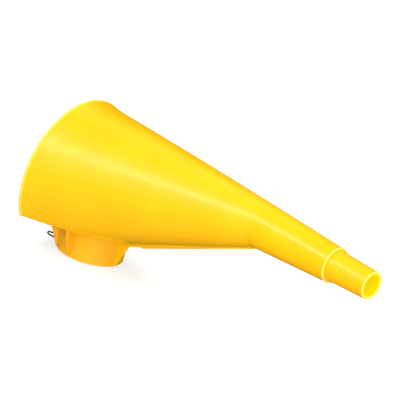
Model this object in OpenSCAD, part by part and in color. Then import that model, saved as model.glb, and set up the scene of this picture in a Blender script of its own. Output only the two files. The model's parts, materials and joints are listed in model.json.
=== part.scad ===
// Pouring funnel that sits on the neck of a safety can.
// The collar slips over the can's neck, the lid opens inside the mouth, and the cone leads to a level spout.
// Origin: centre of the collar's bore at its foot. +Z is up along the collar, +X is along the spout to its tip.

/* [Cone] */
// From the collar's axis back to the mouth
mouth_back = 35; // [30:0.5:42]
// Outside radius of the cone at the mouth
mouth_r = 56.4; // [50:0.1:68]
// Height of the mouth's centre over the floor's underside
mouth_rise = 29.3; // [24:0.1:35]
// Length of the cone from its mouth to the neck
cone_l = 179; // [150:1:215]
// How much fuller than straight the cone is at mid length
cone_bulge = 0.5; // [0:0.1:1.5]
// Thickness of the cone's wall
wall = 2; // [1.6:0.1:2.5]
// Thickness of the floor that stands on the collar
floor_t = 2.2; // [1.6:0.1:3]
// Sharpness of the corner between floor and side
corner_k = 60; // [30:1:80]
// How far the cone flares out at the mouth
flare = 0.9; // [0:0.1:2]
// Length of the flare
flare_l = 18; // [8:0.5:24]

/* [Rim] */
// Width of the bead round the mouth
rim_w = 2.6; // [2:0.1:4]
// How far the bead stands out of the cone
rim_out = 0.4; // [0.2:0.1:1.6]

/* [Neck] */
// Height of the spout's axis over the floor's underside
spout_rise = 65.4; // [61:0.1:73]
// Length of the tapered neck
neck_l = 71.3; // [60:0.1:90]
// Outside radius of the neck where it leaves the cone
neck_r0 = 17.3; // [16.5:0.1:21]
// Width of the neck's end wall round the tip tube
shoulder = 1.75; // [1.2:0.05:3]

/* [Spout tip] */
// How far the tip tube stands out of the neck
tip_l = 35.9; // [25:0.1:50]
// How deep the tip tube sits in the neck
tip_seat = 15; // [10:0.5:20]
// Outside radius of the tip tube where it sits in the neck
tip_r0 = 12.1; // [10:0.05:14.5]
// How much slimmer the tip tube is at its free end
tip_taper = 1.05; // [0:0.05:1.5]
// Thickness of the tip tube's wall at its free end
tip_wall = 2.05; // [1.2:0.05:3]

/* [Collar] */
// Height of the collar under the floor
collar_h = 21; // [18:0.5:27]
// Radius of the collar's bore, over the can's neck
bore_r = 21.8; // [18:0.1:26]
// Thickness of the collar's wall outside the clip's groove
collar_skin = 1.02; // [0.8:0.01:2]
// How far the gussets stand out of the collar at the floor
gusset_out = 8.6; // [6:0.1:9]
// Thickness of a gusset
gusset_t = 1.8; // [1.2:0.1:2.5]

/* [Keel] */
// Thickness of the keel under the cone
keel_t = 2.4; // [1.6:0.1:3.5]
// Depth of the keel just in front of the collar
keel_d0 = 3.9; // [2.5:0.1:5]
// Depth of the keel where it ends at the neck
keel_d1 = 1.7; // [1:0.1:3]
// How far in front of the collar the keel reaches full depth
keel_run = 20.6; // [17:0.1:25]

/* [Neck clip] */
// Diameter of the clip's spring wire
wire_d = 1.2; // [1:0.05:1.5]
// Height of the clip's ring over the collar's foot
clip_z = 3.5; // [3.2:0.1:5]
// How far the finger loops stand out of the collar
loop_out = 5.8; // [4.5:0.1:7.5]
// Slope of the upper wire of a finger loop, in degrees
loop_slope = 11; // [6:1:14]
// How far each clip arm can be spread, in degrees
clip_spread = 2.5; // [1.5:0.1:2.5]

/* [Hidden] */
$fn = 96;

cone_yellow = "#f6c80c";
wire_brown = "#4a3a28";

sides = 72;                                  // facets round the cone
bays = 9;                                    // lengths of cone between two rings
flare_bays = 3;                              // shorter ones in the flare
mouth_z = collar_h + mouth_rise;
spout_z = collar_h + spout_rise;
crease_x = cone_l - mouth_back;              // where the cone meets the neck
step_x = crease_x + neck_l;                  // where the tip tube comes out of the neck
neck_r1 = tip_r0 + shoulder;                 // outside radius of the neck at its end
tip_r1 = tip_r0 - tip_taper;
outlet_r = tip_r1 - tip_wall;
body_x0 = rim_w - mouth_back;                // front face of the rim
cone_x0 = body_x0 + flare_l;                 // end of the flare
stations = concat(
    [for (i = [0:flare_bays - 1]) body_x0 + flare_l * i / flare_bays],
    [for (i = [0:bays]) cone_x0 + (crease_x - cone_x0) * i / bays]);

// the clip: a ring of wire in a groove, its arms hinged beside the bow at the front
wire_r = wire_d / 2;
bent_r = 1.06 * wire_r;                      // a sharp bend swells the wire a little
bend_r = 1;                                  // centre line of a sharp bend
play = 0.3;                                  // clearance round the moving wire
clip_r = bore_r + 0.1 + wire_r;              // the wire's centre line, clear of the bore
swing = clip_r * tan(clip_spread);           // farthest that the ring's side moves out
groove_r = clip_r + wire_r + swing + play;
groove_h = wire_d + 2 * play;
collar_r = groove_r + collar_skin;
keel_from = collar_r + keel_run;
bow_a = 12.9;                                // half angle of the fixed bow
arm_a = 13.2;                                // where an arm starts
gusset_angles = [90, 135, 225, 270];
// a finger loop clears the gusset beside it even when its arm is spread
gusset_corner = [collar_r * cos(135) - gusset_t / 2 * cos(45), collar_r * sin(135) - gusset_t / 2 * sin(45)];
loop_travel = (clip_r - gusset_corner.x) * tan(clip_spread);
loop_y = gusset_corner.y - loop_travel - wire_r - play;
arm_end_a = 180 - asin((loop_y + bend_r) / (clip_r + bend_r));  // where an arm turns back to its finger loop
corner_x = (clip_r + bend_r) * cos(arm_end_a);
bend_x = bend_r + wire_r - collar_r - loop_out;
leg_clear = collar_r + wire_r + play;        // where a loop's upper wire ends, outside the collar
leg_end_x = -sqrt(leg_clear * leg_clear - loop_y * loop_y);

// The cone's cross-section at x is a circle whose lower part is cut off by the floor.
function along(x) = (x + mouth_back) / cone_l;
function ring_r(x) =
    mouth_r + (neck_r0 - mouth_r) * along(x) + 4 * cone_bulge * along(x) * (1 - along(x))
    + flare * pow(max(0, (cone_x0 - x) / flare_l), 2);
function ring_z(x) = mouth_z + (spout_z - mouth_z) * along(x);
// Distance from the ring's centre to its outline at angle a, where 0 is up.
function reach(x, a, inset, floor_z) =
    let (to_side = 1 / (ring_r(x) - inset), to_floor = max(-cos(a), 0) / (ring_z(x) - floor_z))
    pow(pow(to_side, corner_k) + pow(to_floor, corner_k), -1 / corner_k);
function ring(x, inset, floor_z) =
    [for (i = [0:sides - 1]) let (a = 360 * i / sides, d = reach(x, a, inset, floor_z))
        [x, d * sin(a), ring_z(x) + d * cos(a)]];
function keel_top(x) = ring_z(x) - reach(x, 180, 0, collar_h);

// A tube between two skins: the outer one is inset by insets[i] at xs[i], the inner one by the wall.
module sleeve(xs, insets) {
    rows = len(xs);
    outer = [for (i = [0:rows - 1]) each ring(xs[i], insets[i], collar_h + insets[i])];
    inner = [for (x = xs) each ring(x, wall, collar_h + floor_t)];
    n = len(outer);
    skin = [for (i = [0:rows - 2], j = [0:sides - 1])
        let (a = i * sides + j, b = i * sides + (j + 1) % sides) each [[a, b, a + sides], [b, b + sides, a + sides]]];
    lining = [for (f = skin) [f[2] + n, f[1] + n, f[0] + n]];
    last = (rows - 1) * sides;
    ends = [for (j = [0:sides - 1]) let (k = (j + 1) % sides)
        each [[k, j, j + n], [k, j + n, k + n], [last + j, last + k, last + j + n], [last + k, last + k + n, last + j + n]]];
    polyhedron(points = concat(outer, inner), faces = concat(skin, lining, ends), convexity = 6);
}

// Turns a shape drawn round the Z axis so that it lies along the spout, starting at x.
module on_spout(x) {
    translate([x, 0, spout_z]) rotate([0, 90, 0]) children();
}

module funnel_body() {
    color(cone_yellow) difference() {
        sleeve(stations, [for (x = stations) 0]);
        translate([0, 0, collar_h - 1]) cylinder(r = bore_r, h = floor_t + 6);
    }
}

module mouth_rim() {
    steps = 4;
    color(cone_yellow) sleeve(
        [for (i = [0:steps]) rim_w * i / steps - mouth_back],
        [for (i = [0:steps]) -rim_out * (0.4 + 0.6 * sin(180 * i / steps))]);
}

module neck_tube() {
    seat_z = neck_l - tip_seat;
    color(cone_yellow) on_spout(crease_x) rotate_extrude() polygon([
        [neck_r0 - wall, 0], [neck_r0, 0], [neck_r1, neck_l],
        [tip_r0, neck_l], [tip_r0, seat_z], [tip_r0 - 0.6, seat_z]]);
}

module spout_tip() {
    lead = 3;                                // flared entry of the outlet
    lip = 0.4;                               // chamfer at the free end
    end_z = tip_seat + tip_l;
    color(cone_yellow) on_spout(step_x - tip_seat) rotate_extrude() polygon([
        [outlet_r, lead], [tip_r0 - 0.6, 0], [tip_r0, 0], [tip_r0, tip_seat],
        [tip_r1, end_z - lip], [tip_r1 - lip, end_z], [outlet_r, end_z]]);
}

module keel_rib() {
    fin_z = 0.88 * collar_h;                 // where the fin on the collar turns forward
    fin_x = collar_r + 7.2;
    heel_x = keel_from - 1;
    top = [for (x = stations) if (x > collar_r && x < crease_x) [x, keel_top(x)]];
    color(cone_yellow) rotate([90, 0, 0]) translate([0, 0, -keel_t / 2]) linear_extrude(keel_t) polygon(concat(
        [[collar_r, 0], [fin_x, fin_z], [fin_x + 3, fin_z + 2], [heel_x, keel_top(heel_x) - keel_d0 + 1],
         [keel_from, keel_top(keel_from) - keel_d0], [crease_x, keel_top(crease_x) - keel_d1],
         [crease_x, keel_top(crease_x)]],
        [for (i = [len(top) - 1:-1:0]) top[i]],
        [[collar_r, collar_h]]));
}

module collar_ring() {
    bow_w = 2 * clip_r * sin(bow_a) - play;
    color(cone_yellow) difference() {
        cylinder(r = collar_r, h = collar_h);
        translate([0, 0, -1]) cylinder(r = bore_r, h = collar_h + 2);
        // the bow sits tight in a shallow groove, and the arms move in a deeper one
        translate([0, 0, clip_z - wire_r]) cylinder(r = clip_r + wire_r, h = wire_d);
        difference() {
            translate([0, 0, clip_z - groove_h / 2]) cylinder(r = groove_r, h = groove_h);
            translate([0, -bow_w / 2, 0]) cube([collar_r, bow_w, collar_h]);
        }
        for (s = [-1, 1]) clip_window(s);
    }
}

// The slot in the collar's back wall that an arm comes out of, long enough for its swing.
module clip_window(s) {
    travel = (clip_r + collar_r) * tan(clip_spread);
    y0 = loop_y - wire_r - play;
    slot = wire_d + 2 * play + travel;
    translate([-collar_r - 2, s > 0 ? y0 : -y0 - slot, clip_z - groove_h / 2])
        cube([collar_r, slot, groove_h]);
}

module collar_gussets() {
    knee_z = 0.81 * collar_h;                // above this the free edge is nearly upright
    color(cone_yellow) for (a = gusset_angles) rotate(a) difference() {
        rotate([90, 0, 0]) translate([0, 0, -gusset_t / 2]) linear_extrude(gusset_t) polygon([
            [collar_r - 1, 0], [collar_r + 0.3, 0], [collar_r + gusset_out - 0.3, knee_z],
            [collar_r + gusset_out, collar_h], [collar_r - 1, collar_h]]);
        cylinder(r = collar_r, h = collar_h);
    }
}

// A length of the clip's ring from angle a0 to a1.
module wire_arc(a0, a1) {
    translate([0, 0, clip_z]) rotate(a0) rotate_extrude(angle = a1 - a0) translate([clip_r, 0]) circle(wire_r, $fn = 32);
}

module clip_bow() {
    color(wire_brown) wire_arc(-bow_a, bow_a);
}

// A sharp bend in the wire, turned about the Z axis from angle a0 to a1.
module wire_bend(a0, a1) {
    rotate(a0) rotate_extrude(angle = a1 - a0) translate([bend_r, 0]) circle(bent_r, $fn = 32);
}

// A straight length of wire along the X axis from x0 to x1.
module wire_leg(x0, x1) {
    translate([x0, 0, 0]) rotate([0, 90, 0]) cylinder(r = wire_r, h = x1 - x0, $fn = 32);
}

// One arm: half the ring, then a finger loop that comes out of the collar and folds back on itself.
module clip_arm() {
    lap = 0.1;                               // the straight wire runs this far into a bend
    upper_l = (leg_end_x - bend_x) / cos(loop_slope);
    wire_arc(arm_a, arm_end_a + lap / 2);
    translate([corner_x, loop_y + bend_r, clip_z]) wire_bend(270, 180 + arm_end_a);
    translate([0, loop_y, clip_z]) wire_leg(bend_x - lap, corner_x + lap);
    translate([bend_x, loop_y, clip_z + bend_r]) rotate([90, 0, 0]) {
        wire_bend(90 + loop_slope, 270);
        rotate(loop_slope) translate([0, bend_r, 0]) wire_leg(-lap, upper_l);
    }
}

module clip_arm_left() {
    color(wire_brown) clip_arm();
}

module clip_arm_right() {
    color(wire_brown) mirror([0, 1, 0]) clip_arm();
}

funnel_body();
mouth_rim();
neck_tube();
spout_tip();
keel_rib();
collar_ring();
collar_gussets();
clip_bow();
clip_arm_left();
clip_arm_right();
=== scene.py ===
import json
import math

import bmesh
import bpy
import numpy as np
from mathutils import Matrix, Vector


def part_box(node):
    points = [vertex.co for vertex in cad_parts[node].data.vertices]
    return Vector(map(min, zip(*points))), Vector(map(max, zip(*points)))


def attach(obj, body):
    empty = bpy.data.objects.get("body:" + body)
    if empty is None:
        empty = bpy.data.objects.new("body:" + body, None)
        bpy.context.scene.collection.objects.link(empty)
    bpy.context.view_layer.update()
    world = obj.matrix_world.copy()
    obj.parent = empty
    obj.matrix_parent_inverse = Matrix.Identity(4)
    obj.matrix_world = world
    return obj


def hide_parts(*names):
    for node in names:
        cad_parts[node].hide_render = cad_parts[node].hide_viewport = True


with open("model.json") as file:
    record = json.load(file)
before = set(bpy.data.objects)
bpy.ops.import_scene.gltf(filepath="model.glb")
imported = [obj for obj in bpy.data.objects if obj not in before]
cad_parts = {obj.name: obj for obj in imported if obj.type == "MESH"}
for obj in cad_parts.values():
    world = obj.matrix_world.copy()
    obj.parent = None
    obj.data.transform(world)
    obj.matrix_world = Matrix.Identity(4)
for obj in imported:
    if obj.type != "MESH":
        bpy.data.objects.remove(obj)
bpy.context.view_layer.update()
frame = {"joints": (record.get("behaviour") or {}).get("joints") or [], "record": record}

mm = 0.001


class Flow:  # a node's output that takes part in sums
    def __init__(self, paint, socket):
        self.paint = paint
        self.socket = socket

    def join(self, operation, other, swapped=False):
        first, second = (other, self) if swapped else (self, other)
        kinds = {side.socket.type for side in (first, second) if isinstance(side, Flow)}
        if "RGBA" in kinds:
            return self.paint.node("ShaderNodeMix", {"data_type": "RGBA", "blend_type": operation},
                                   {"Factor": 1.0, "A": first, "B": second}, "Result")
        if "VECTOR" in kinds:
            return self.paint.node("ShaderNodeVectorMath", {"operation": operation}, {0: first, 1: second})
        return self.paint.node("ShaderNodeMath", {"operation": operation}, {0: first, 1: second})

    def __add__(self, other): return self.join("ADD", other)
    def __radd__(self, other): return self.join("ADD", other, True)
    def __sub__(self, other): return self.join("SUBTRACT", other)
    def __rsub__(self, other): return self.join("SUBTRACT", other, True)
    def __mul__(self, other): return self.join("MULTIPLY", other)
    def __rmul__(self, other): return self.join("MULTIPLY", other, True)
    def __truediv__(self, other): return self.join("DIVIDE", other)
    def __rtruediv__(self, other): return self.join("DIVIDE", other, True)

    def above(self, low, high):  # 0 below low, 1 above high, smooth between
        return self.paint.node("ShaderNodeMapRange", {"interpolation_type": "SMOOTHSTEP", "clamp": True},
                               {"Value": self, "From Min": low, "From Max": high, "To Min": 0.0, "To Max": 1.0})

    def mixed(self, low, high):  # this value picks between two colours
        return self.paint.node("ShaderNodeMix", {"data_type": "RGBA"}, {"Factor": self, "A": low, "B": high}, "Result")


class Paint:  # one material and the nodes in it
    def __init__(self, name):
        self.material = bpy.data.materials.new(name)
        self.material.use_nodes = True
        self.tree = self.material.node_tree
        self.tree.nodes.clear()

    def node(self, kind, settings=None, inputs=None, output=0):
        made = self.tree.nodes.new(kind)
        for key, value in (settings or {}).items():
            setattr(made, key, value)
        for key, value in (inputs or {}).items():
            socket = self.pick(made, key)
            if isinstance(value, Flow):
                self.tree.links.new(value.socket, socket)
            else:
                socket.default_value = (*value, 1.0) if socket.type == "RGBA" and len(value) == 3 else value
        outputs = [s for s in made.outputs if s.enabled]
        if not outputs:
            return None
        return Flow(self, outputs[output] if isinstance(output, int) else next(s for s in outputs if s.name == output))

    def pick(self, made, key):
        if isinstance(key, int):
            return made.inputs[key]
        return next(s for s in made.inputs if s.name == key and s.enabled)

    def place(self):  # where a point is on its piece, in metres in the part's own frame
        return self.node("ShaderNodeTexCoord", output="Object")

    def parts(self, vector):
        split = self.node("ShaderNodeSeparateXYZ", {}, {0: vector}).socket.node
        return [Flow(self, s) for s in split.outputs]

    def point(self, x, y, z):
        return self.node("ShaderNodeCombineXYZ", {}, {0: x, 1: y, 2: z})

    def noise(self, place, scale, detail, roughness):
        return self.node("ShaderNodeTexNoise", {"noise_dimensions": "3D"}, {
            "Vector": place, "Scale": scale, "Detail": detail, "Roughness": roughness, "Distortion": 0.0})

    def bump(self, height, distance, strength):
        return self.node("ShaderNodeBump", {}, {"Height": height, "Distance": distance, "Strength": strength})

    def finish(self, sockets):
        shader = self.node("ShaderNodeBsdfPrincipled", {}, sockets)
        self.node("ShaderNodeOutputMaterial", {}, {"Surface": shader})
        return self.material


def smoothMesh(name, points, faces, sharpest=40):
    mesh = bpy.data.meshes.new(name)
    mesh.from_pydata([tuple(p) for p in points], [], faces)
    mesh.validate()
    bm = bmesh.new()
    bm.from_mesh(mesh)
    bmesh.ops.remove_doubles(bm, verts=bm.verts, dist=1e-7)
    bmesh.ops.recalc_face_normals(bm, faces=bm.faces)
    for edge in bm.edges:
        edge.smooth = len(edge.link_faces) != 2 or edge.calc_face_angle(0) < math.radians(sharpest)
    for face in bm.faces:
        face.smooth = True
    bm.to_mesh(mesh)
    bm.free()
    made = bpy.data.objects.new(name, mesh)
    bpy.context.scene.collection.objects.link(made)
    return made


def weave(rows, columns, closeRows, closeColumns):  # faces of a grid of points, joined up at its ends if asked
    faces = []
    for i in range(rows if closeRows else rows - 1):
        for j in range(columns if closeColumns else columns - 1):
            a, b = i * columns + j, i * columns + (j + 1) % columns
            c, d = (i + 1) % rows * columns + (j + 1) % columns, (i + 1) % rows * columns + j
            faces.append((a, b, c, d))
    return faces


def capped(rows, columns):  # faces of a tube of closed rows, with both ends shut
    ends = [tuple(range(columns))[::-1], tuple(range((rows - 1) * columns, rows * columns))]
    return weave(rows, columns, False, True) + ends


def lathe(name, outline, sides, centre):  # a closed outline of (along, radius) turned round a line along x
    turn = np.linspace(0, 2 * math.pi, sides, endpoint=False)
    points = []
    for along, radius in outline:
        for a in turn:
            points.append((centre[0] + along, centre[1] + radius * math.sin(a), centre[2] + radius * math.cos(a)))
    return smoothMesh(name, points, weave(len(outline), sides, True, True))


def rounded(corners, steps=6):  # an outline whose corners are (u, v, radius), each rounded off
    outline = []
    count = len(corners)
    for i, (u, v, radius) in enumerate(corners):
        here = np.array([u, v])
        before = np.array(corners[i - 1][:2]) - here
        after = np.array(corners[(i + 1) % count][:2]) - here
        if radius <= 0:
            outline.append(tuple(here))
            continue
        toBefore, toAfter = before / np.linalg.norm(before), after / np.linalg.norm(after)
        half = math.acos(max(-1, min(1, float(toBefore @ toAfter)))) / 2
        reach = radius / math.tan(half)
        bisector = (toBefore + toAfter) / np.linalg.norm(toBefore + toAfter)
        middle = here + bisector * radius / math.sin(half)
        first, last = here + toBefore * reach - middle, here + toAfter * reach - middle
        for k in range(steps + 1):
            share = k / steps
            arm = first * (1 - share) + last * share
            outline.append(tuple(middle + arm / np.linalg.norm(arm) * radius))
    return outline


def subdivided(outline, longest):  # long straight stretches of an outline get more points
    dense = []
    for i, (u, v) in enumerate(outline):
        w, z = outline[(i + 1) % len(outline)]
        parts = max(1, math.ceil(math.hypot(w - u, z - v) / longest))
        dense += [(u + (w - u) * k / parts, v + (z - v) * k / parts) for k in range(parts)]
    return dense


def cutAway(piece, cutters):  # takes closed meshes out of a piece for good
    for cutter in cutters:
        tool = piece.modifiers.new("cut", "BOOLEAN")
        tool.operation, tool.solver, tool.object = "DIFFERENCE", "EXACT", cutter
    bpy.context.view_layer.update()
    result = bpy.data.meshes.new_from_object(piece.evaluated_get(bpy.context.evaluated_depsgraph_get()))
    piece.modifiers.clear()
    piece.data = result
    for cutter in cutters:
        bpy.data.objects.remove(cutter)


def boxCutter(low, high):
    mesh = bpy.data.meshes.new("cutter")
    bm = bmesh.new()
    bmesh.ops.create_cube(bm, size=1)
    for vert in bm.verts:
        vert.co = [(low[k] + high[k]) / 2 + vert.co[k] * (high[k] - low[k]) for k in range(3)]
    bm.to_mesh(mesh)
    bm.free()
    made = bpy.data.objects.new("cutter", mesh)
    bpy.context.scene.collection.objects.link(made)
    return made


def dress(piece, material, slotName, body, *nodes):
    piece.data.materials.clear()
    piece.data.materials.append(material)
    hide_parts(*nodes)
    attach(piece, body)


bodyLow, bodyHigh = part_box("funnel_body")
rimLow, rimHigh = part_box("mouth_rim")
neckLow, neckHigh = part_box("neck_tube")
tipLow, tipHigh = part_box("spout_tip")
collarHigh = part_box("collar_ring")[1]
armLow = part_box("clip_arm_left")[0]
bowLow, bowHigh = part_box("clip_bow")
mounts = {m["name"]: m for m in frame["record"]["mounts"]}
boreRadius = mounts["collar_bore"]["dims"]["r_mm"] * mm
outletRadius = mounts["outlet"]["dims"]["r_mm"] * mm
collarTop, collarRadius = collarHigh.z, collarHigh.x
creaseX, stepX, tipX = bodyHigh.x, neckHigh.x, tipHigh.x
spoutZ = (neckHigh.z + neckLow.z) / 2

shell = {
    "wall": 2.0 * mm,
    "floor": 2.2 * mm,
    "bulge": 0.5 * mm,          # how much fuller than straight the cone is at mid length
    "flare": 0.9 * mm,          # how far it flares at the mouth
    "flareLength": 18 * mm,
    "corner": 60,               # sharpness of the corner between floor and side
    "crease": 3.0 * mm,         # half the length over which cone turns into neck
    "parting": 0.11 * mm,       # height of the mould's parting line
    "partingWidth": 0.42 * mm,
    "neckEnd": 13.85 * mm,      # outside radius where the neck ends
}

mouthX = rimLow.x
coneLength = creaseX - mouthX
neckRadius = (neckHigh.y - neckLow.y) / 2
startShare = (bodyLow.x - mouthX) / coneLength
mouthRadius = (bodyHigh.y - shell["flare"] - 4 * shell["bulge"] * startShare * (1 - startShare)
               - neckRadius * startShare) / (1 - startShare)
startZ = bodyHigh.z - bodyHigh.y
mouthZ = (startZ - spoutZ * startShare) / (1 - startShare)
print("sizes read: mouth radius", round(mouthRadius / mm, 2), "mm, mouth height", round(mouthZ / mm, 2), "mm")


def outerRadius(x):
    share = (x - mouthX) / coneLength
    cone = (mouthRadius + (neckRadius - mouthRadius) * share + 4 * shell["bulge"] * share * (1 - share)
            + shell["flare"] * np.maximum(0, (bodyLow.x + shell["flareLength"] - x) / shell["flareLength"]) ** 2)
    slope = (shell["neckEnd"] - neckRadius) / (stepX - creaseX)
    neck = neckRadius + slope * (x - creaseX)
    turn = np.clip((x - creaseX) / shell["crease"], -1, 1)
    blend = (turn + 1) ** 2 * (2 - turn) / 4
    return cone * (1 - blend) + neck * blend


def centreZ(x):
    slope = (spoutZ - mouthZ) / coneLength
    turn = np.clip((x - creaseX) / shell["crease"], -1, 1)
    blend = (turn + 1) ** 2 * (2 - turn) / 4
    return (mouthZ + slope * (x - mouthX)) * (1 - blend) + spoutZ * blend


def reach(x, a, inset, floorZ, corner):  # from the ring's centre to its outline, at angle a from the top
    toSide = 1 / (outerRadius(x) - inset)
    toFloor = np.maximum(-np.cos(a), 0) / (centreZ(x) - floorZ)
    return (toSide ** corner + toFloor ** corner) ** (-1 / corner)


def cornerAngle(x, floorZ):
    return math.acos(max(-1.0, min(1.0, -(centreZ(x) - floorZ) / outerRadius(x))))


def spreadAngles(low, high, count, weight):  # angles that stand closer where the weight is high
    fine = np.linspace(low, high, 1500)
    total = np.concatenate([[0], np.cumsum((weight(fine[1:]) + weight(fine[:-1])) / 2)])
    return np.interp(np.linspace(0, 1, count), total / total[-1], fine)


def ringAngles(x, floorZ):
    ridge = shell["partingWidth"] * 2.2 / outerRadius(x)
    corner = cornerAngle(x, floorZ)
    nearRidge = lambda a: 1 + 14 * np.exp(-((a - math.pi / 2) / ridge) ** 2)
    nearBoth = lambda a: nearRidge(a) + 9 * np.exp(-((a - corner) / 0.05) ** 2)
    upper = spreadAngles(0, math.pi / 2, 70, nearRidge)
    lower = spreadAngles(math.pi / 2, math.pi, 96, nearBoth)[1:]
    half = np.concatenate([upper, lower])
    return np.concatenate([half, 2 * math.pi - half[-2:0:-1]])


def ring(x, inset, floorZ, corner, angles, ridge=0.0):
    out = reach(x, angles, inset, floorZ, corner)
    if ridge:
        offset = np.minimum(np.abs(angles - math.pi / 2), np.abs(angles - 3 * math.pi / 2)) * outerRadius(x)
        out = out + ridge * np.exp(-(offset / shell["partingWidth"]) ** 2)
    return np.stack([np.full_like(out, x), out * np.sin(angles), centreZ(x) + out * np.cos(angles)], 1)


def makeConeShell():  # the cone with its floor
    low, high = bodyLow.x, creaseX
    outerX = np.concatenate([low + np.linspace(0, 1, 9) ** 1.3 * shell["flareLength"],
                             np.linspace(low + shell["flareLength"], high - 6 * mm, 30)[1:],
                             np.linspace(high - 6 * mm, high, 9)[1:]])
    innerX = np.concatenate([[low], np.linspace(low, high - 6 * mm, 34)[1:], np.linspace(high - 6 * mm, high, 7)[1:]])
    rows = []
    for x in outerX:
        fade = min(1, (x - low) / (6 * mm))
        rows.append(ring(x, 0, collarTop, shell["corner"], ringAngles(x, collarTop), shell["parting"] * fade))
    for x in innerX[::-1]:
        angles = ringAngles(x, collarTop)
        rows.append(ring(x, shell["wall"], collarTop + shell["floor"], 34, angles))
    columns = len(rows[0])
    piece = smoothMesh("coneShell", np.concatenate(rows), weave(len(rows), columns, True, True))
    soft = 0.5 * mm                                # the floor's hole has softened edges
    bottom, top = collarTop - 1 * mm, collarTop + shell["floor"]
    outline = [(bottom - collarTop, boreRadius), (top - collarTop - soft, boreRadius),
               (top - collarTop - soft * 0.3, boreRadius + soft * 0.3), (top - collarTop, boreRadius + soft),
               (top - collarTop + 6 * mm, boreRadius + soft)]
    sides = 160
    turn = np.linspace(0, 2 * math.pi, sides, endpoint=False)
    points = []
    for along, radius in outline:
        points += [(radius * math.cos(a), radius * math.sin(a), collarTop + along) for a in turn]
    cutAway(piece, [smoothMesh("cutter", points, capped(len(outline), sides))])
    return piece


rim = {
    "out": 0.42 * mm,           # how far the bead stands out
    "groove": 0.30 * mm,        # shallow line behind the bead
}


def makeMouthRim():
    low, high = rimLow.x, rimHigh.x
    wide = high - low
    rows = []
    steps = 12
    for k in range(steps + 1):                     # the bead's outside, back to front
        share = k / steps
        x = high - wide * share
        crown = math.sin(math.pi * min(1, share * 1.06 + 0.03)) ** 0.55
        inset = rim["groove"] - (rim["out"] + rim["groove"]) * crown
        front = max(0, share - 0.78) / 0.22
        inset += 0.55 * mm * (1 - math.sqrt(max(0, 1 - front ** 2)))
        rows.append(ring(x, inset, collarTop + inset, shell["corner"], ringAngles(bodyLow.x, collarTop)))
    for k in range(7):                             # the inside, front to back
        share = k / 6
        x = low + wide * share
        inset = shell["wall"] - 0.55 * mm * (1 - min(1, share / 0.25)) ** 2
        rows.append(ring(x, inset, collarTop + shell["floor"] * inset / shell["wall"], 34,
                         ringAngles(bodyLow.x, collarTop)))
    return smoothMesh("mouthRim", np.concatenate(rows), weave(len(rows), len(rows[0]), True, True))


neckLook = {
    "socketDepth": 15 * mm,
    "lip": 0.45 * mm,           # rounding of the neck's end
    "swell": 0.30 * mm,         # how far the bead at the neck's end stands out
    "step": 0.6 * mm,           # ledge that the tip tube rests on
}


def makeNeckTube():
    tipOuter = (tipHigh.y - tipLow.y) / 2
    bore = neckRadius - shell["wall"]
    end, lip = stepX, neckLook["lip"]
    angles = ringAngles(creaseX, collarTop - 1)
    rows = []
    outerX = np.concatenate([np.linspace(creaseX, creaseX + 6 * mm, 8),
                             np.linspace(creaseX + 6 * mm, end - 3 * mm, 16)[1:], [end - 2.0 * mm]])

    def circle(x, radius, ridge=0.0):
        offset = np.minimum(np.abs(angles - math.pi / 2), np.abs(angles - 3 * math.pi / 2)) * radius
        out = radius + ridge * np.exp(-(offset / shell["partingWidth"]) ** 2)
        return np.stack([np.full_like(out, x), out * np.sin(angles), centreZ(x) + out * np.cos(angles)], 1)

    for x in outerX:
        rows.append(circle(x, outerRadius(x), shell["parting"]))
    last = outerRadius(end) + neckLook["swell"]
    for back, share in ((1.7, 0.0), (1.5, 0.25), (1.3, 0.75), (1.05, 1.0)):
        rows.append(circle(end - back * mm, outerRadius(end) + neckLook["swell"] * share, shell["parting"]))
    for k in range(5):                             # rounded outer lip
        a = math.pi / 2 * k / 4
        rows.append(circle(end - lip + lip * math.sin(a), last - lip + lip * math.cos(a),
                           shell["parting"] * (1 - k / 4)))
    rows += [circle(end, last - lip - 0.2 * mm), circle(end, tipOuter + 0.35 * mm)]
    rows += [circle(end - 0.12 * mm, tipOuter + 0.12 * mm), circle(end - 0.35 * mm, tipOuter)]
    seat = end - neckLook["socketDepth"]
    rows += [circle(seat, tipOuter), circle(seat, tipOuter - neckLook["step"])]
    for share in np.linspace(0, 1, 14)[1:]:
        x = seat + (creaseX - seat) * share
        rows.append(circle(x, tipOuter - neckLook["step"] + (bore - tipOuter + neckLook["step"]) * share))
    return smoothMesh("neckTube", np.concatenate(rows), weave(len(rows), len(angles), True, True))


tipLook = {
    "lead": 3 * mm,             # flared entry at its hidden end
    "lip": 0.5 * mm,            # rounding of the free end
    "endRadius": 11.05 * mm,
}


def makeSpoutTip():
    outer = (tipHigh.y - tipLow.y) / 2
    start, end, lip = tipLow.x, tipHigh.x, tipLook["lip"]
    outline = rounded([
        (start, outer - 0.6 * mm, 0), (start, outer, 0.2 * mm), (stepX, outer, 0),
        (end, tipLook["endRadius"], lip), (end, outletRadius, lip * 0.8), (start + tipLook["lead"], outletRadius, 0)])
    outline = [(u - start, v) for u, v in subdivided(outline, 3 * mm)]
    return lathe("spoutTip", outline, 144, (start, 0, spoutZ))


plate = {                           # the keel and the gussets have rounded free edges and filleted roots
    "keelThick": 2.4 * mm,
    "gussetThick": 1.8 * mm,
    "root": 0.9 * mm,           # fillet where a plate meets the wall
    "edge": 0.45 * mm,          # rounding of its free edge
    "sunk": 0.8 * mm,           # how far it runs into the wall behind it
}


def fillet(distance, radius):  # extra half thickness at this distance from the root
    near = np.clip(1 - distance / radius, 0, 1)
    return radius * 0.55 * (1 - np.sqrt(1 - near * near))


def edgeRound(distance, radius, half):  # half thickness lost at this distance from the free edge
    near = np.clip(1 - distance / radius, 0, 1)
    return np.minimum(half, radius) * (1 - np.sqrt(1 - near * near))


def keelTopZ(x):
    return centreZ(x) - reach(x, np.array([math.pi]), 0, collarTop, shell["corner"])[0]


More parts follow.
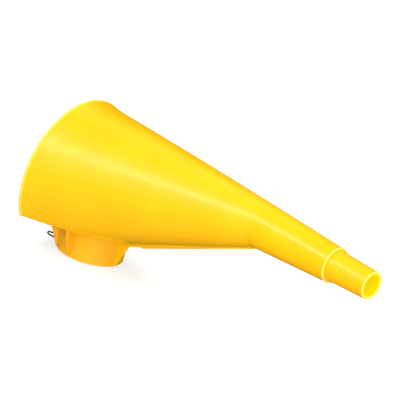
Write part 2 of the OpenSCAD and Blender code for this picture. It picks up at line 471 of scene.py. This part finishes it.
keel = {
    "depthFront": 3.9 * mm,     # depth just in front of the collar
    "depthEnd": 1.7 * mm,       # depth where it runs out at the neck
    "finTurn": 0.88,            # height on the collar at which the fin turns forward
    "finOut": 7.2 * mm,
    "run": 20.6 * mm,
}


def keelEdge():  # the free edge as (x, z) corners, from the collar's foot to the neck
    turnZ = keel["finTurn"] * collarTop
    turnX = collarRadius + keel["finOut"]
    full = collarRadius + keel["run"]
    return [(collarRadius, 0.0), (turnX, turnZ), (turnX + 3 * mm, turnZ + 2 * mm),
            (full - 1 * mm, keelTopZ(full - 1 * mm) - keel["depthFront"] + 1 * mm),
            (full, keelTopZ(full) - keel["depthFront"]),
            (creaseX - 1.5 * mm, keelTopZ(creaseX - 1.5 * mm) - keel["depthEnd"]),
            (creaseX, keelTopZ(creaseX) - keel["depthEnd"] + 0.9 * mm)]


def makeKeelRib():
    edge = keelEdge()
    xs = np.unique(np.round(np.concatenate([
        np.linspace(collarRadius - 0.6 * mm, collarRadius + 2.5 * mm, 10),
        np.linspace(collarRadius + 2.5 * mm, collarRadius + 22 * mm, 40),
        np.linspace(collarRadius + 22 * mm, creaseX - 4 * mm, 40),
        np.linspace(creaseX - 4 * mm, creaseX, 9)]), 7))
    edgeX, edgeZ = [p[0] for p in edge], [p[1] for p in edge]
    half = plate["keelThick"] / 2
    levels = np.concatenate([np.linspace(0, 1, 9) ** 2 * 0.25, 0.25 + np.linspace(0, 1, 13)[1:] * 0.75])
    columns = []
    for x in xs:
        low = np.interp(x, edgeX, edgeZ)
        top = (collarTop + 0.9 * mm) if x < collarRadius else keelTopZ(x) + plate["sunk"]
        if x < collarRadius:
            low = 0.0
        top = max(top, collarTop + 0.9 * mm if x < collarRadius + 5 * mm else top)
        z = low + (top - low) * levels
        thick = np.full_like(z, half)
        thick += fillet(top - plate["sunk"] - z, 2.2 * mm) + fillet(np.full_like(z, x - collarRadius), plate["root"])
        thick -= edgeRound(z - low, plate["edge"], half)
        thick = np.maximum(thick, 0.12 * mm)
        columns.append((x, z, thick))
    rows = []
    for x, z, thick in columns:                    # one closed loop round the plate at each x
        right = [(x, -t, h) for h, t in zip(z, thick)]
        left = [(x, t, h) for h, t in zip(z[::-1], thick[::-1])]
        rows.append(np.array(right + left))
    return smoothMesh("keelRib", np.concatenate(rows), capped(len(rows), len(rows[0])), 50)


gusset = {
    "out": 8.6 * mm,
    "knee": 0.81,               # share of the collar's height above which the free edge is nearly upright
    "kneeIn": 0.3 * mm,
    "foot": 0.3 * mm,
    "angles": (90, 135, 225, 270),
    "plainBelow": 5.0 * mm,     # no fillet down here, where the finger loops swing
    "filletFrom": 9.0 * mm,
}


def makeGusset(degrees):
    half = plate["gussetThick"] / 2
    knee = gusset["knee"] * collarTop
    zs = np.unique(np.round(np.concatenate([np.linspace(0.05 * mm, knee, 26), np.linspace(knee, collarTop, 8),
                                            [collarTop + 0.7 * mm, collarTop + 1.3 * mm]]), 7))
    out = np.interp(zs, [0, knee, collarTop, collarTop + 2 * mm],
                    [gusset["foot"], gusset["out"] - gusset["kneeIn"], gusset["out"], gusset["out"] + 0.3 * mm])
    levels = np.concatenate([np.linspace(0, 1, 12)[:-1] * 0.7, 0.7 + (1 - (1 - np.linspace(0, 1, 8)) ** 2) * 0.3])
    rows = []
    direction = np.array([math.cos(math.radians(degrees)), math.sin(math.radians(degrees))])
    across = np.array([-direction[1], direction[0]])
    sunk = plate["sunk"]
    for z, reachOut in zip(zs, out):
        distance = -sunk + (reachOut + sunk) * levels
        thick = np.full_like(distance, half)
        share = np.interp(z, [gusset["plainBelow"], gusset["filletFrom"]], [0, 1])
        thick += fillet(np.maximum(distance, 0), plate["root"]) * share
        thick += fillet(np.full_like(distance, max(0, collarTop - z)), plate["root"]) * share
        thick -= edgeRound(reachOut - distance, min(plate["edge"], max(0.1 * mm, reachOut)), half)
        thick = np.maximum(thick, 0.1 * mm)
        loop = [direction * (collarRadius + d) - across * t for d, t in zip(distance, thick)]
        loop += [direction * (collarRadius + d) + across * t for d, t in zip(distance[::-1], thick[::-1])]
        rows.append(np.array([(p[0], p[1], z) for p in loop]))
    return smoothMesh("gusset", np.concatenate(rows), capped(len(rows), len(rows[0])), 50)


def makeGussets():
    made = [makeGusset(a) for a in gusset["angles"]]
    bm = bmesh.new()
    for part in made:
        bm.from_mesh(part.data)
    mesh = bpy.data.meshes.new("collarGussets")
    bm.to_mesh(mesh)
    bm.free()
    for part in made:
        bpy.data.objects.remove(part)
    piece = bpy.data.objects.new("collarGussets", mesh)
    bpy.context.scene.collection.objects.link(piece)
    return piece


clip = {
    "height": (bowLow.z + bowHigh.z) / 2,
    "wire": (bowHigh.z - bowLow.z) / 2,
    "play": 0.3 * mm,
    "spread": math.radians(frame["joints"][0]["range_deg"][1]),
    "bow": math.radians(12.9),
    "armStart": math.radians(13.2),
    "bend": 1.0 * mm,           # bend radius of the wire
    "slope": math.radians(11),  # slope of a finger loop's upper wire
}
clipRadius = bowHigh.x - clip["wire"]


def fingerLoopY():  # a finger loop clears the gusset beside it even when its arm is spread
    cornerX = collarRadius * math.cos(math.radians(135)) - plate["gussetThick"] / 2 * math.sqrt(0.5)
    cornerY = collarRadius * math.sin(math.radians(135)) - plate["gussetThick"] / 2 * math.sqrt(0.5)
    return cornerY - (clipRadius - cornerX) * math.tan(clip["spread"]) - clip["wire"] - clip["play"]


def makeCollarRing():  # with the clip's groove and the two windows that the clip comes out of
    wire, play = clip["wire"], clip["play"]
    shallow = clipRadius + wire
    deep = shallow + clipRadius * math.tan(clip["spread"]) + play
    grooveLow, grooveHigh = clip["height"] - wire - play, clip["height"] + wire + play
    soft = 0.5 * mm
    bowHalf = math.asin((clipRadius * math.sin(clip["bow"]) - play / 2) / deep)
    turn = np.unique(np.round(np.concatenate([
        np.linspace(0, 2 * math.pi, 180, endpoint=False),
        [bowHalf, bowHalf + 0.002, 2 * math.pi - bowHalf, 2 * math.pi - bowHalf - 0.002]]), 6))
    rows = []
    for a in turn:
        facing = min(a, 2 * math.pi - a)
        depth = shallow if facing <= bowHalf else deep
        low, high = (clip["height"] - wire, clip["height"] + wire) if facing <= bowHalf else (grooveLow, grooveHigh)
        foot = [(soft * (1 - math.cos(b)), boreRadius + soft * (1 - math.sin(b)))
                for b in np.linspace(0, math.pi / 2, 5)]
        edge = [(soft * 1.4 * (1 - math.sin(b)), collarRadius - soft * 1.4 * (1 - math.cos(b)))
                for b in np.linspace(math.pi / 2, 0, 6)]
        wall = [(z, collarRadius) for z in np.linspace(edge[-1][0], collarTop, 8)[1:]]
        bore = [(z, boreRadius) for z in np.linspace(collarTop, high, 8)]
        groove = [(high, depth), (low, depth), (low, boreRadius)]
        outline = edge + wall + bore + groove + foot[::-1]
        rows.append(np.array([(r * math.cos(a), r * math.sin(a), z) for z, r in outline]))
    piece = smoothMesh("collarRing", np.concatenate(rows), weave(len(rows), len(rows[0]), True, True))
    travel = (clipRadius + collarRadius) * math.tan(clip["spread"])
    near = fingerLoopY() - wire - play
    slot = 2 * wire + 2 * play + travel
    cutAway(piece, [boxCutter((-collarRadius - 2 * mm, start, grooveLow), (-2 * mm, start + slot, grooveHigh))
                    for start in (near, -near - slot)])
    return piece


def wireTube(name, path, radius, sides=20):  # one smooth wire along a path
    path = np.array(path)
    ahead = np.gradient(path, axis=0)
    ahead /= np.linalg.norm(ahead, axis=1)[:, None]
    normal = np.array([0.0, 0.0, 1.0]) if abs(ahead[0][2]) < 0.9 else np.array([1.0, 0.0, 0.0])
    steps = np.concatenate([[0], np.cumsum(np.linalg.norm(np.diff(path, axis=0), axis=1))])
    turn = np.linspace(0, 2 * math.pi, sides, endpoint=False)
    rows = []
    for k, (point, along) in enumerate(zip(path, ahead)):
        normal = normal - along * (normal @ along)
        normal /= np.linalg.norm(normal)
        side = np.cross(along, normal)
        toEnd = min(steps[k], steps[-1] - steps[k])
        blunt = max(0, 1 - toEnd / (radius * 0.6))  # the cut ends are slightly rounded
        thick = radius * (math.sqrt(1 - blunt ** 2) * 0.8 + 0.2)
        rows.append(point + thick * (np.outer(np.cos(turn), normal) + np.outer(np.sin(turn), side)))
    return smoothMesh(name, np.concatenate(rows), capped(len(rows), sides), 60)


def evenly(path, gap, ends):  # points at even distances, closer together near both ends
    path = np.array(path)
    steps = np.concatenate([[0], np.cumsum(np.linalg.norm(np.diff(path, axis=0), axis=1))])
    middle = np.linspace(ends, steps[-1] - ends, max(4, int(steps[-1] / gap)))[1:-1]
    places = np.concatenate([np.linspace(0, ends, 5), middle, np.linspace(steps[-1] - ends, steps[-1], 5)])
    return np.stack([np.interp(places, steps, path[:, k]) for k in range(3)], 1)


def makeBow():
    path = [(clipRadius * math.cos(a), clipRadius * math.sin(a), clip["height"])
            for a in np.linspace(-clip["bow"], clip["bow"], 40)]
    return wireTube("clipBow", evenly(path, 0.5 * mm, 0.36 * mm), clip["wire"])


def makeArm(name, side):
    bend, height, loopY = clip["bend"], clip["height"], fingerLoopY()
    end = math.pi - math.asin((loopY + bend) / (clipRadius + bend))
    path = [(clipRadius * math.cos(a), clipRadius * math.sin(a), height)
            for a in np.linspace(clip["armStart"], end, 300)]
    cornerX, cornerY = (clipRadius + bend) * math.cos(end), loopY + bend
    path += [(cornerX + bend * math.cos(a), cornerY + bend * math.sin(a), height)
             for a in np.linspace(end + math.pi, 1.5 * math.pi, 24)[1:]]
    turnX = armLow.x + clip["wire"] * 1.06 + bend
    path += [(x, loopY, height) for x in np.linspace(cornerX, turnX, 40)[1:]]
    path += [(turnX - bend * math.sin(a), loopY, height + bend - bend * math.cos(a))
             for a in np.linspace(0, math.pi - clip["slope"], 30)[1:]]
    lastX, lastZ = path[-1][0], path[-1][2]
    clear = collarRadius + clip["wire"] + clip["play"]
    stopX = -math.sqrt(clear * clear - loopY * loopY)
    path += [(x, loopY, lastZ + (x - lastX) * math.tan(clip["slope"])) for x in np.linspace(lastX, stopX, 30)[1:]]
    path = [(x, y * side, z) for x, y, z in path]
    return wireTube(name, evenly(path, 0.45 * mm, 0.36 * mm), clip["wire"])


def mouldedPlastic(name, look, paintedHighlightMask=None):
    paint = Paint(name)
    place = paint.place()
    x, y, z = paint.parts(place)
    around = paint.node("ShaderNodeMath", {"operation": "ARCTAN2"}, {0: y, 1: z - look["axisZ"] - x * look["axisRise"]})
    swept = paint.point(x * look["streakStretch"], around * look["streakFine"], 0.0)
    streaks = paint.noise(swept, 1.0, 4.0, 0.6)
    mottle = paint.noise(place, 26.0, 2.0, 0.5)
    cloud = paint.noise(place, 85.0, 3.0, 0.55)
    peel = paint.noise(place, look["peel"], 2.0, 0.6)
    grain = paint.noise(place, 3600.0, 1.0, 0.5)
    rubs = paint.noise(paint.node("ShaderNodeMapping", {"vector_type": "POINT"}, {
        "Vector": place, "Rotation": (0.3, 0.5, 0.2), "Scale": (40.0, 900.0, 700.0)}), 1.0, 2.0, 0.7)
    scuff = rubs.above(0.66, 0.8) * cloud.above(0.48, 0.62)
    shade = (mottle - 0.5) * 0.9 + (streaks - 0.5) * look["streaks"] + 0.5
    colour = shade.above(0.15, 0.85).mixed(look["deep"], look["bright"])
    colour = (scuff * 0.05).mixed(colour, look["scuffed"])
    if paintedHighlightMask:                                   # painted highlight: the thin edges get a paler colour where they catch the light
        colour = (paintedHighlightMask(x, y, z) * look["edgeHighlightShare"]).mixed(colour, look["edgeHighlightColour"])
    lit = {}
    if "inside" in look:                           # painted glow: the bore is given an emission colour so it looks lit, standing in for light coming through the thin wall
        outward = y * y + (z - look["axisZ"]) * (z - look["axisZ"])
        bore = 1 - outward.above(look["inside"] ** 2, look["inside"] ** 2 * 1.06)
        lit = {"Emission Color": bore.mixed((0.0, 0.0, 0.0), look["paintedBoreGlow"]), "Emission Strength": 1.0}
    roughness = (cloud - 0.5) * 0.10 + (streaks - 0.5) * 0.08 + scuff * 0.06 + look["roughness"]
    height = peel * 0.55 + grain * 0.08 + streaks * look["streakHeight"] - scuff * 0.04
    normal = paint.bump(height, look["bumpDepth"], look["bump"])
    return paint.finish({
        "Base Color": colour, "Roughness": roughness, "Normal": normal, "IOR": 1.5,
        "Subsurface Weight": look["glow"], "Subsurface Radius": (1.0, 0.55, 0.08), "Subsurface Scale": 0.003,
        "Coat Weight": 0.0, **lit})


bodyLook = {
    "axisZ": mouthZ - mouthX * (spoutZ - mouthZ) / coneLength,
    "axisRise": (spoutZ - mouthZ) / coneLength,
    "deep": (0.92, 0.455, 0.001),
    "bright": (0.97, 0.505, 0.003),
    "scuffed": (0.99, 0.56, 0.05),
    "roughness": 0.25,
    "streaks": 0.55,
    "streakStretch": 9.0,
    "streakFine": 26.0,
    "streakHeight": 0.22,
    "peel": 620.0,
    "bump": 0.32,
    "bumpDepth": 0.00016,
    "glow": 0.12,
    # painted highlight colour and its share, for the thin edges
    "edgeHighlightColour": (1.0, 0.80, 0.13),
    # painted glow colour for the bore
    "paintedBoreGlow": (0.42, 0.22, 0.002),
    "edgeHighlightShare": 0.8,
}
neckPaintLook = dict(bodyLook, axisZ=spoutZ, axisRise=0.0, streakFine=14.0, roughness=0.18)
# the tip's bore gets the painted glow, out to the radius set by inside
tipPaintLook = dict(neckPaintLook, streakStretch=3.0, streakFine=34.0, streaks=0.9, streakHeight=0.5,
                    roughness=0.22, peel=900.0, inside=outletRadius + 0.3 * mm)
# painted shade: the collar gets a darker copy of the cone's plastic colours, standing in for the shade under the cone
collarShadedLook = dict(bodyLook, deep=(0.82, 0.37, 0.001), bright=(0.89, 0.42, 0.003), roughness=0.34,
                       axisZ=0.0, axisRise=0.0, streakFine=3.0, streakStretch=60.0, streaks=0.3)


def springWire():
    paint = Paint("springWire")
    place = paint.place()
    patches = paint.noise(place, 420.0, 3.0, 0.6)
    drawn = paint.noise(paint.node("ShaderNodeMapping", {"vector_type": "POINT"}, {
        "Vector": place, "Scale": (500.0, 500.0, 4200.0)}), 1.0, 2.0, 0.6)
    colour = patches.above(0.35, 0.7).mixed((0.035, 0.016, 0.006), (0.12, 0.06, 0.02))
    return paint.finish({
        "Base Color": colour, "Metallic": 0.6, "Roughness": patches * 0.25 + 0.30,
        "Normal": paint.bump(drawn, 0.00004, 0.5)})


bodyPlastic = mouldedPlastic("conePlastic", bodyLook)
# painted highlight on the rim bead, strongest along its front edge
rimPlastic = mouldedPlastic("rimPlastic", bodyLook,
                            lambda x, y, z: 0.45 + 0.55 * (1 - x.above(mouthX, mouthX + 1.2 * mm)))
keelFull = collarRadius + keel["run"]
keelSlope = (((keelTopZ(creaseX) - keel["depthEnd"]) - (keelTopZ(keelFull) - keel["depthFront"]))
             / (creaseX - collarRadius - keel["run"]))
keelFoot = keelTopZ(creaseX) - keel["depthEnd"] - keelSlope * creaseX
# painted highlight: a paler band along the keel's lower edge, from near the collar to the neck
keelPlastic = mouldedPlastic("keelPlastic", bodyLook, lambda x, y, z: x.above(0.090, 0.112)
                             * (1 - (z - x * keelSlope - keelFoot).above(0.3 * mm, 1.0 * mm)))
# painted highlight on the rounded end of the neck
neckPlastic = mouldedPlastic("neckPlastic", neckPaintLook,
                             lambda x, y, z: x.above(stepX - 1.1 * mm, stepX - 0.6 * mm))
# painted highlight on the free end of the tip
tipPlastic = mouldedPlastic("tipPlastic", tipPaintLook,
                            lambda x, y, z: x.above(tipX - 0.8 * mm, tipX - 0.25 * mm))
collarShadedPlastic = mouldedPlastic("collarShadedPlastic", collarShadedLook)
wireFinish = springWire()
print("materials made")


dress(makeConeShell(), bodyPlastic, "cone_plastic", "funnel", "funnel_body")
dress(makeMouthRim(), rimPlastic, "cone_plastic", "funnel", "mouth_rim")
print("cone and rim made")
dress(makeNeckTube(), neckPlastic, "cone_plastic", "funnel", "neck_tube")
dress(makeSpoutTip(), tipPlastic, "tip_plastic", "funnel", "spout_tip")
print("neck and tip made")
dress(makeKeelRib(), keelPlastic, "cone_plastic", "funnel", "keel_rib")
dress(makeCollarRing(), collarShadedPlastic, "collar_plastic", "funnel", "collar_ring")
dress(makeGussets(), collarShadedPlastic, "collar_plastic", "funnel", "collar_gussets")
print("keel, collar and gussets made")
dress(makeBow(), wireFinish, "spring_wire", "funnel", "clip_bow")
dress(makeArm("clipArmLeft", 1), wireFinish, "spring_wire", "left_arm", "clip_arm_left")
dress(makeArm("clipArmRight", -1), wireFinish, "spring_wire", "right_arm", "clip_arm_right")
print("spring clip made")


studio = {
    "floorSize": 6.0,
    "floorColour": (0.36, 0.42, 0.45),
    "floorSpeck": (0.35, 0.41, 0.44),
    "floorGlow": 0.6,
    "world": 0.635,
    "lens": 1500.0,
    "frameWidth": 0.2945,      # width of the view where the funnel is
    "centreRight": 0.08128,    # the view's centre from the origin, along the camera's own axes
    "centreUp": 0.03839,
    "right": (0.73698, 0.63043, 0.24375),       # across the view
    "toward": (0.53979, -0.76600, 0.34910),     # from the funnel to the camera
    "lit": (0.09, 0.0, 0.06),                   # where the lights point
    "lightDistance": 1.6,
}


def makeFloor():
    mesh = bpy.data.meshes.new("floor")
    bm = bmesh.new()
    bmesh.ops.create_grid(bm, x_segments=8, y_segments=8, size=studio["floorSize"] / 2)
    bm.to_mesh(mesh)
    bm.free()
    floor = bpy.data.objects.new("floor", mesh)
    bpy.context.scene.collection.objects.link(floor)
    floor.location = (0.1, 0, -0.0002)
    paint = Paint("floorPaint")
    speck = paint.noise(paint.place(), 40.0, 2.0, 0.5)
    floor.data.materials.append(paint.finish({
        "Base Color": speck.mixed(studio["floorSpeck"], studio["floorColour"]),
        "Roughness": 0.9, "Specular IOR Level": 0.1,
        "Emission Color": (1.0, 1.0, 1.0), "Emission Strength": studio["floorGlow"]}))
    floor.visible_diffuse = False   # the underside is lit by its own soft light, not by the floor
    floor.visible_glossy = False
    floor.visible_shadow = False


lights = {                     # azimuth and elevation in degrees, size in metres, power in watts
    "frontFill": {"azimuth": -45, "elevation": 14, "size": 1.0, "power": 13.7},
    "spoutSide": {"azimuth": 0, "elevation": 50, "size": 1.0, "power": 12.5},
    "farSide": {"azimuth": 120, "elevation": 50, "size": 1.0, "power": 11.1},
    "mouthSide": {"azimuth": -112, "elevation": 22, "size": 1.0, "power": 6.2},
    "underFront": {"azimuth": -42, "elevation": -26, "size": 0.9, "power": 5.4},
    "key": {"azimuth": -120, "elevation": 50, "size": 1.0, "power": 7.5},
    "sheen": {"azimuth": -114, "elevation": 39, "size": 0.50, "power": 2.5, "gloss": True},
}


def softLight(name, azimuth, elevation, size, power, gloss=False):
    data = bpy.data.lights.new(name, "AREA")
    data.shape = "SQUARE"
    data.size, data.energy = size, power
    light = bpy.data.objects.new(name, data)
    bpy.context.scene.collection.objects.link(light)
    turn, rise = math.radians(azimuth), math.radians(elevation)
    way = Vector((math.cos(rise) * math.cos(turn), math.cos(rise) * math.sin(turn), math.sin(rise)))
    light.location = Vector(studio["lit"]) + way * studio["lightDistance"]
    light.rotation_euler = (-way).to_track_quat("-Z", "Y").to_euler()
    light.visible_glossy = gloss                   # only one light shows as a highlight
    light.visible_diffuse = not gloss


def makeStudio():
    makeFloor()
    for name, light in lights.items():
        softLight(name, **light)
    world = bpy.data.worlds.new("studioWorld")
    world.use_nodes = True
    world.node_tree.nodes["Background"].inputs[0].default_value = (1, 1, 1, 1)
    world.node_tree.nodes["Background"].inputs[1].default_value = studio["world"]
    world.cycles_visibility.glossy = False
    bpy.context.scene.world = world
    view = bpy.context.scene.view_settings
    view.view_transform, view.look, view.exposure, view.gamma = "Standard", "None", 0.0, 1.0


def makeCamera():
    right = Vector(studio["right"]).normalized()
    toward = Vector(studio["toward"]).normalized()
    up = toward.cross(right).normalized()
    right = up.cross(toward).normalized()
    data = bpy.data.cameras.new("camera")
    data.sensor_width = 36.0
    data.lens = studio["lens"]
    camera = bpy.data.objects.new("camera", data)
    bpy.context.scene.collection.objects.link(camera)
    distance = studio["lens"] * studio["frameWidth"] / 36.0
    spot = right * studio["centreRight"] + up * studio["centreUp"] + toward * distance
    turn = Matrix((right, up, toward)).transposed()
    camera.matrix_world = Matrix.Translation(spot) @ turn.to_4x4()
    data.clip_start, data.clip_end = 0.1, 60.0
    bpy.context.scene.camera = camera


makeStudio()
makeCamera()
print("studio and camera made")
